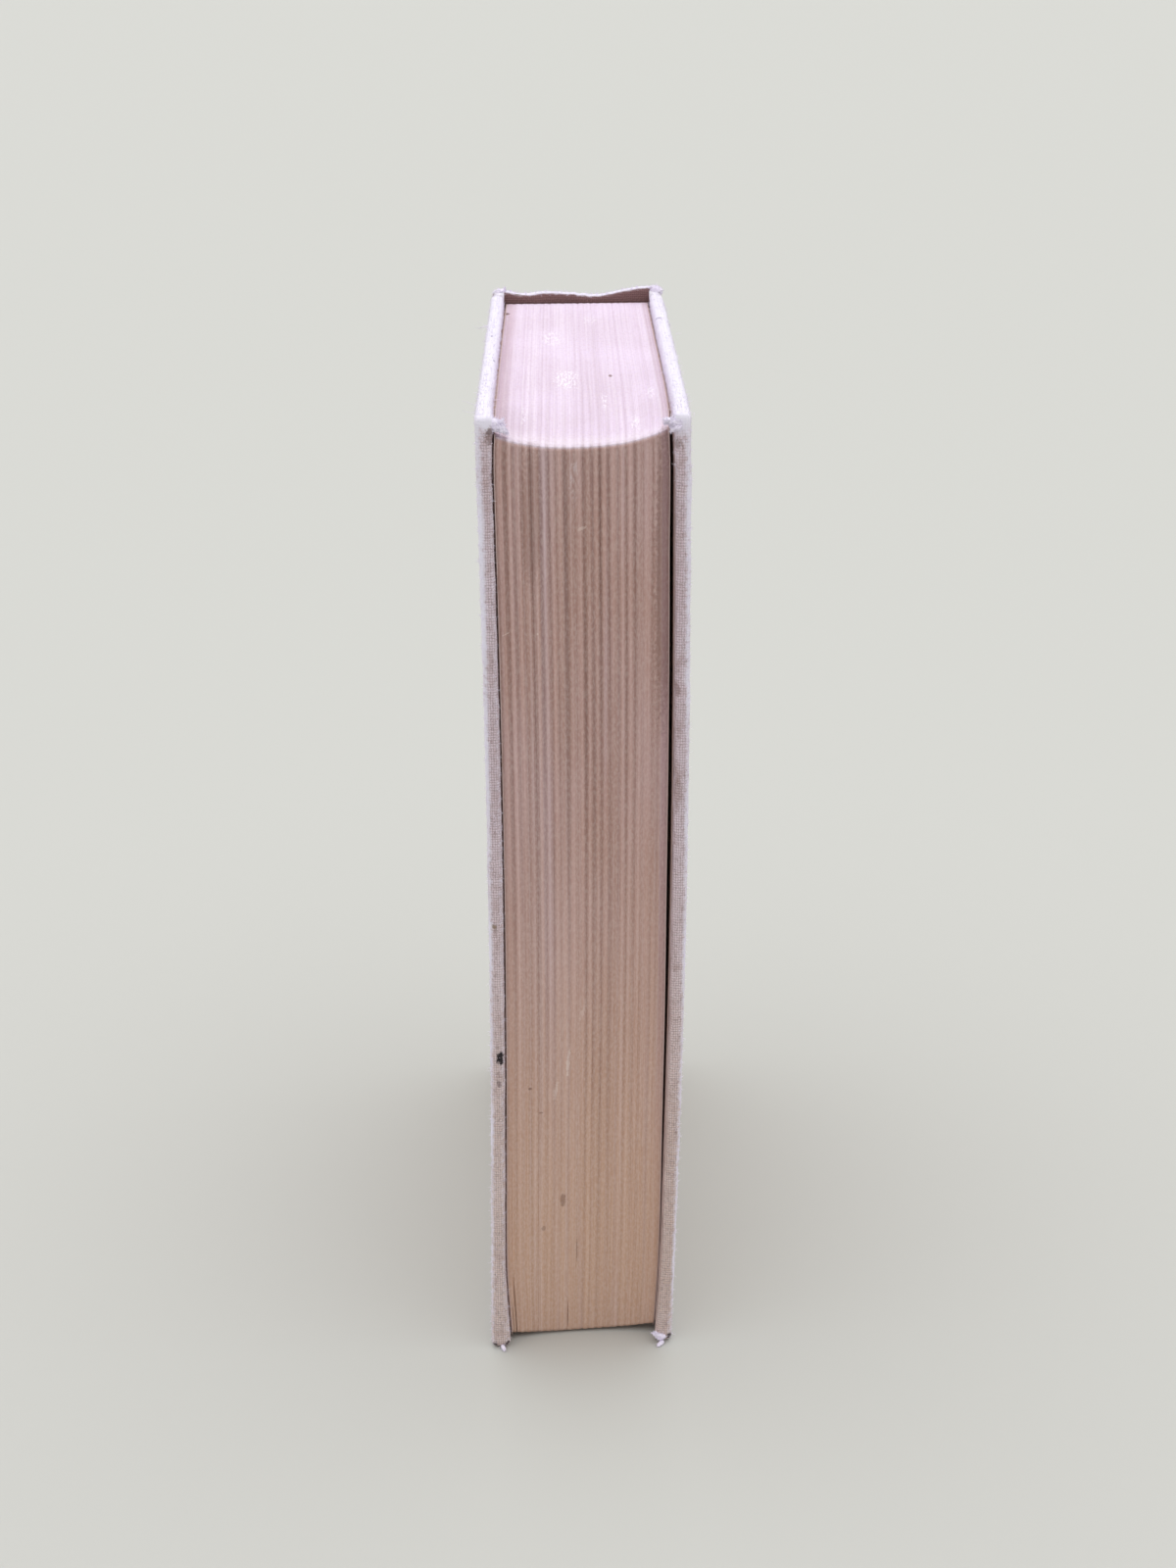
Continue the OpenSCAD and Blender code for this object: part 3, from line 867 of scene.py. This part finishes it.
joint_material = book_cloth("joint_book_cloth")
for side, word in SIDES:
    joint = new_piece(joint_cloth(side), word + "_joint_cloth", joint_material)
    spine_end = joint_end(side, joint_spine_y - 1.1)
    cover_end = joint_end(side, joint_cover_y + 0.7)
    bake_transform(joint, "text_block", word + "_cover", start=spine_end, end=cover_end)


# Spine cloth: the middle of the same cloth, glued round the strip of board and turned in at its ends.
# Its head is rubbed white and has sunk in the middle, where fingers pulled the book from a shelf.
shoulder_y = 62.1
spine_back_y = 64.0
spine_half_w = outer_x - 0.2
spine_r = 0.85
spine_belly = 0.2
spine_fibres = 1000
head_h = 16.0
head_rise = 0.6
head_tilt = 0.4
head_hollow = 0.4
# Where the head has sunk and where its inner side is pressed in: the middle of each dip or fold across
# the spine, its half-width and its depth
head_dips = [(-12.5, 3.2, 0.75), (-4.0, 5.0, 0.35), (5.0, 6.0, 1.3)]
head_folds = [(-9.5, 1.6, 0.55), (3.0, 2.5, 0.275)]


def spine_cloth():
    xs = rows(-spine_half_w, spine_half_w, 34)
    zs = rows(0, cover_h, 90, 0.45)
    bm = gridded_box(xs, [shoulder_y, spine_back_y], zs)
    rims = [edge for edge in bm.edges if edge.calc_face_angle() > 1.0]
    rounded(bm, rims, spine_r)
    wear, grime_and_shade = (bm.verts.layers.float.new(name) for name in ("wear", "grime_and_shade"))
    turn = math.atan(lean / book_t)
    cos, sin = math.cos(turn), math.sin(turn)
    for vert in bm.verts:
        x, y, z = vert.co
        from_end = min(z, cover_h - z)
        inner = smooth(shoulder_y + 0.6, shoulder_y + 0.1, y)
        rim = 1.25 * smooth(1.4 - 0.8 * inner, 0.4 - 0.2 * inner, from_end)
        patchy = 0.6 + 0.5 * noise.noise((math.copysign(4.0, x), 0.0, z * 0.06))
        vert[wear] = max(rim, patchy * smooth(1.6, 0.2, spine_half_w - abs(x)) * (1 - inner))
        # The inside of the spine, seen above the pages at the head, is darkened as painted shade
        vert[grime_and_shade] = inner * smooth(0.1, 0.5, from_end)
        near_head = smooth(cover_h - head_h, cover_h, z)
        across = x / spine_half_w
        middle = 1 - across ** 2
        z += (head_rise + head_tilt * across - head_hollow * middle - bells(head_dips, x)) * near_head
        z += 0.2 * noise.noise((x * 0.9, 0.0, 9.0)) * near_head
        if y < 63:
            y -= bells(head_folds, x) * near_head
        y += spine_belly * middle
        y += 0.1 * noise.noise((x * 0.12, z * 0.05, 2.0))
        off = y - shoulder_y
        vert.co = (x * cos - off * sin, shoulder_y + x * sin + off * cos, z)
        vert.co += noise.noise_vector(vert.co * 0.9) * 0.05
    nap["text_block"] = nap_roots(bm, spine_fibres, cover_h - 3, random.Random(31))
    inside = [
        face for face in bm.faces
        if face.normal.y < -0.9 and turn_in < face.calc_center_median().z < cover_h - turn_in
    ]
    bmesh.ops.delete(bm, geom=inside, context="FACES")
    bmesh.ops.solidify(bm, geom=bm.faces, thickness=cloth_t)
    map_cloth(bm)
    return bm


spine = new_piece(spine_cloth(), "spine_book_cloth", book_cloth("spine_book_cloth"))
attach(spine, "text_block")
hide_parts("spine_cloth")


# Nap and frayed corners: loose cotton fibres stand up wherever the cloth is rubbed.
# Where the corners have worn through, the bare cotton has matted into lumps with tufts on them.
# A few longer threads have pulled out of the weave along the front cover's head.
fibre_t = 0.08
tuft_t = 0.1
# Length of the nap's fibres: the least, how much more they have on average, and the most
nap_least = 0.28
nap_more = 0.22
nap_most = 1.3


def fibre(root, heading, length, curl, chance, steps=2):
    """The path of a fibre that leaves its root along a heading, wanders and stays above the floor."""
    path = [root]
    for _ in range(steps):
        heading = (heading + Vector([chance.gauss(0, curl) for _ in range(3)])).normalized()
        place = path[-1] + heading * (length / steps)
        place.z = max(place.z, tuft_t)
        path.append(place)
    return path


def fibre_piece(name, paths, thick, material):
    """Draws each path as a fine tube that thins towards its tip, all of them in one mesh."""
    curve = bpy.data.curves.new(name, "CURVE")
    curve.dimensions = "3D"
    curve.bevel_depth = thick / 2 * MM
    curve.bevel_resolution = 0
    curve.use_fill_caps = True
    for path in paths:
        spline = curve.splines.new("POLY")
        spline.points.add(len(path) - 1)
        for step, (point, place) in enumerate(zip(spline.points, path)):
            point.co = (*(place * MM), 1.0)
            point.radius = 1 - 0.7 * step / (len(path) - 1)
    drawn = bpy.data.objects.new(name + "_path", curve)
    mesh = bpy.data.meshes.new_from_object(drawn)
    bpy.data.objects.remove(drawn)
    bpy.data.curves.remove(curve)
    mesh.materials.clear()
    mesh.materials.append(material)
    made = bpy.data.objects.new(name, mesh)
    bpy.context.scene.collection.objects.link(made)
    return made


def frayed_cotton():
    """Bare cotton that has lost its size: near white, with a little grey dirt."""
    material, tree, shader, place = new_material("frayed_cotton", 0.95)
    dirt = mask(tree, mottle(tree, place, 0.8, detail=3), 0.45, 0.7)
    base = tinted(tree, colour("#f8f1ff"), dirt, 0.15, "#b9aecb")
    shader.inputs["Sheen Weight"].default_value = 1.0
    shader.inputs["Sheen Roughness"].default_value = 0.6
    shader.inputs["Sheen Tint"].default_value = colour("#f4eeff")
    surface(tree, shader, base, mottle(tree, place, 4.0, detail=4), 0.03)
    return material


def lump(bm, start, end, thick, seed):
    """Adds a matted lump of cotton, drawn out towards its end, and gives the places and facings on it."""
    start, along = Vector(start), Vector(end) - Vector(start)
    aside = along.orthogonal().normalized()
    above = along.cross(aside).normalized()
    roots = []
    for vert in bmesh.ops.create_icosphere(bm, subdivisions=4, radius=1.0)["verts"]:
        share = (vert.co.x + 1) / 2
        outward = aside * vert.co.y + above * vert.co.z
        place = start + along * share + outward * (thick * (1 - 0.55 * share))
        place += noise.noise_vector(place * 0.9 + Vector((seed, 0, 0))) * (0.4 * thick)
        place += noise.noise_vector(place * 2.6) * (0.25 * thick)
        place.z = max(place.z, fibre_t)
        vert.co = place
        roots.append((place, (outward + along.normalized() * 0.4).normalized()))
    return roots


cotton = frayed_cotton()
for body, roots in nap.items():
    chance = random.Random(41)
    paths = []
    for root, facing in roots:
        length = min(nap_least + chance.expovariate(1 / nap_more), nap_most)
        paths.append(fibre(root - facing * 0.05, facing, length, 0.75, chance))
    fuzz = fibre_piece(body + "_nap", paths, fibre_t, cotton)
    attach(fuzz, body)

# Each lump: where it starts and ends, how thick it is, and the number and the length of its fibres
lumps = {
    "front_cover": [
        ((-18.0, -62.9, 205.7), (-13.9, -63.5, 203.6), 1.35, 300, 1.1),
        ((-15.8, -63.2, 205.0), (-14.5, -63.2, 206.2), 0.5, 60, 0.8),
        ((-18.9, -63.6, 205.9), (-16.3, -63.8, 204.9), 0.8, 140, 0.8),
        ((-17.6, -64.5, 0.7), (-16.9, -66.2, 0.4), 0.6, 60, 0.6),
    ],
    "rear_cover": [
        ((19.0, -61.9, 205.5), (15.2, -62.1, 205.1), 1.5, 260, 1.0),
        ((18.9, -62.2, 205.0), (16.6, -62.4, 203.5), 1.2, 180, 0.8),
        ((18.0, -62.9, 1.2), (15.2, -63.3, 2.6), 1.0, 140, 0.8),
        ((17.6, -63.3, 0.7), (16.4, -64.8, 0.4), 0.6, 60, 0.6),
    ],
    "text_block": [
        ((-19.0, 59.8, 206.9), (-16.9, 62.2, 207.3), 0.9, 200, 0.8),
        ((20.2, 60.2, 207.0), (17.2, 62.9, 207.6), 1.1, 260, 0.8),
    ],
}
# Each pulled thread: its root, the way it leaves, its length and its number of strands
pulled = {
    "front_cover": [
        ((-19.5, 23.5, 206.3), (-1.0, -0.2, 0.0), 3.4, 6),
        ((-19.9, -8.0, 205.8), (-0.7, -0.5, -0.3), 3.4, 1),
        ((-19.9, -52.0, 205.9), (-0.8, 0.2, 0.5), 4.6, 1),
        ((-19.9, -55.0, 205.6), (-0.9, -0.3, 0.1), 3.0, 1),
    ],
    "rear_cover": [
        ((21.2, 16.0, 206.0), (0.8, 0.3, 0.4), 2.2, 1),
        ((21.2, -57.0, 205.0), (0.9, 0.1, 0.3), 2.0, 1),
    ],
    "text_block": [],
}
for body in nap:
    chance = random.Random(53)
    lump_bm = bmesh.new()
    paths = []
    for number, (start, end, thick, count, length) in enumerate(lumps[body]):
        roots = lump(lump_bm, start, end, thick, 3.7 * number)
        for root, facing in chance.choices(roots, k=count):
            reach = length * chance.uniform(0.3, 1.1)
            paths.append(fibre(root - facing * 0.1, facing, reach, 0.6, chance, steps=4))
    matted = new_piece(lump_bm, body + "_matted_corners", cotton)
    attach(matted, body)
    for root, way, length, strands in pulled[body]:
        for _ in range(strands):
            aside = Vector([chance.gauss(0, 0.06 * strands ** 0.5) for _ in range(3)])
            reach = length * chance.uniform(0.7, 1.1)
            paths.append(fibre(Vector(root) + aside, Vector(way), reach, 0.3, chance, steps=7))
    tufts = fibre_piece(body + "_tufts", paths, tuft_t, cotton)
    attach(tufts, body)


# Pastedowns: the other half of each endpaper, pasted over the turned-in cloth and the bare board.
# The paper sinks to the board inside the turned-in edges, so their outline shows through it.
paste_margin = 3.5
paste_back_y = 57.25


def paste_level(y, z):
    """How far out from the middle of the book the pasted paper lies at a place on a cover."""
    inwards = min(y - fore_y, z, cover_h - z)
    return turn_in_x + cloth_t * smooth(turn_in - 0.5, turn_in + 1.2, inwards)


def pastedown(side):
    edge = [0.0, 3.0, 6.5, 9.5, 11.0, 11.8, 12.6]
    low_y, low_z, high_z = fore_y + paste_margin, paste_margin, cover_h - paste_margin
    ys = [low_y + d for d in edge] + rows(low_y + 17, paste_back_y, 30)
    zs = [low_z + d for d in edge] + rows(low_z + 17, high_z - 17, 44) + [high_z - d for d in reversed(edge)]
    bm = gridded_box([0.0, endpaper_t], ys, zs)
    browned = bm.verts.layers.float.new("browned")
    for vert in bm.verts:
        off, y, z = vert.co
        vert[browned] = edge_browning(y - low_y, z - low_z, high_z - z)
        x = side * (paste_level(y, z) - off)
        y += side * lean / 2
        vert.co = (x + bow(side, y, z) - side * swell(side, y, z), y, z)
    if side == REAR:
        bmesh.ops.reverse_faces(bm, faces=bm.faces)
    return bm


pasted_paper = endpaper("pasted_endpaper")
for side, word in SIDES:
    pasted = new_piece(pastedown(side), word + "_cover_pastedown", pasted_paper)
    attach(pasted, word + "_cover")
    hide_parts(word + "_pastedown")


# Joint papers: the fold of each endpaper, which bridges the joint between pastedown and free leaf.
# It isn't pasted down, and bends with the cover.
paper_cover_y = 56.9
paper_page_y = 60.6


def joint_paper(side):
    zs = rows(paste_margin + 0.1, cover_h - paste_margin - 0.1, 50)
    bm = gridded_box([0.0, endpaper_t], rows(0, 1, 12), zs)
    browned = bm.verts.layers.float.new("browned")
    page_x = (-first_x if side == FRONT else last_x + rear_close) + 2 * endpaper_t
    for vert in bm.verts:
        off, along, z = vert.co
        vert[browned] = 0.5 + 0.5 * smooth(10.0, 0.0, min(z - paste_margin, cover_h - paste_margin - z))
        y = paper_cover_y + (paper_page_y - paper_cover_y) * along
        level = paste_level(paper_cover_y, z) - 0.02
        x = level + (page_x - level) * smooth(0.0, 1.0, along) - off
        y += side * lean / 2
        vert.co = (side * x + bow(side, y, z), y, z)
    if side == REAR:
        bmesh.ops.reverse_faces(bm, faces=bm.faces)
    return bm


folded_paper = endpaper("folded_endpaper")
for side, word in SIDES:
    fold = new_piece(joint_paper(side), word + "_joint_paper", folded_paper)
    page_end = joint_end(side, paper_page_y - 0.3)
    cover_end = joint_end(side, paper_cover_y + 0.4)
    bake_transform(fold, "text_block", word + "_cover", start=page_end, end=cover_end)


# Floor: a plain pale studio floor for the book to stand on.
# It is the stage and not part of the book.
floor_bm = bmesh.new()
bmesh.ops.create_grid(floor_bm, x_segments=1, y_segments=1, size=20000)
floor_material, _, floor_shader, _ = new_material("floor", 0.9)
floor_shader.inputs["Base Color"].default_value = colour("#c4c5bf")
floor = new_piece(floor_bm, "floor", floor_material)

# Light: plain soft studio light, a wide glow from overhead and an even world round it.
# What is seen of the world itself has the tone of the lit floor, so that no horizon shows.
scene = bpy.context.scene
scene.world = bpy.data.worlds.new("studio")
scene.world.use_nodes = True
world_tree = scene.world.node_tree
rays = put(world_tree, "ShaderNodeLightPath").outputs
seen = calc(world_tree, "MAXIMUM", rays["Is Camera Ray"], rays["Is Glossy Ray"])
seen = calc(world_tree, "MAXIMUM", seen, rays["Is Transmission Ray"])
glow = mixed(world_tree, seen, (0.49, 0.48, 0.5, 1.0), colour("#dadbd5"))
world_tree.links.new(glow, world_tree.nodes["Background"].inputs["Color"])
overhead = bpy.data.lights.new("overhead", "SUN")
overhead.angle = math.radians(110)
overhead.energy = 2.4
overhead_object = bpy.data.objects.new("overhead", overhead)
overhead_object.rotation_euler = (math.radians(-8), 0.0, 0.0)
scene.collection.objects.link(overhead_object)

# Camera: where the photograph was taken from, looking down on the head and the fore edge.
camera = bpy.data.cameras.new("camera")
camera.sensor_width = 36.0
camera.lens = 54.0
camera_object = bpy.data.objects.new("camera", camera)
camera_object.location = (-0.00407, -0.4948, 0.30839)
camera_object.rotation_euler = (math.radians(90 - 22.1575), 0.0, math.radians(-0.694))
scene.collection.objects.link(camera_object)
scene.camera = camera_object
scene.view_settings.view_transform = "Standard"
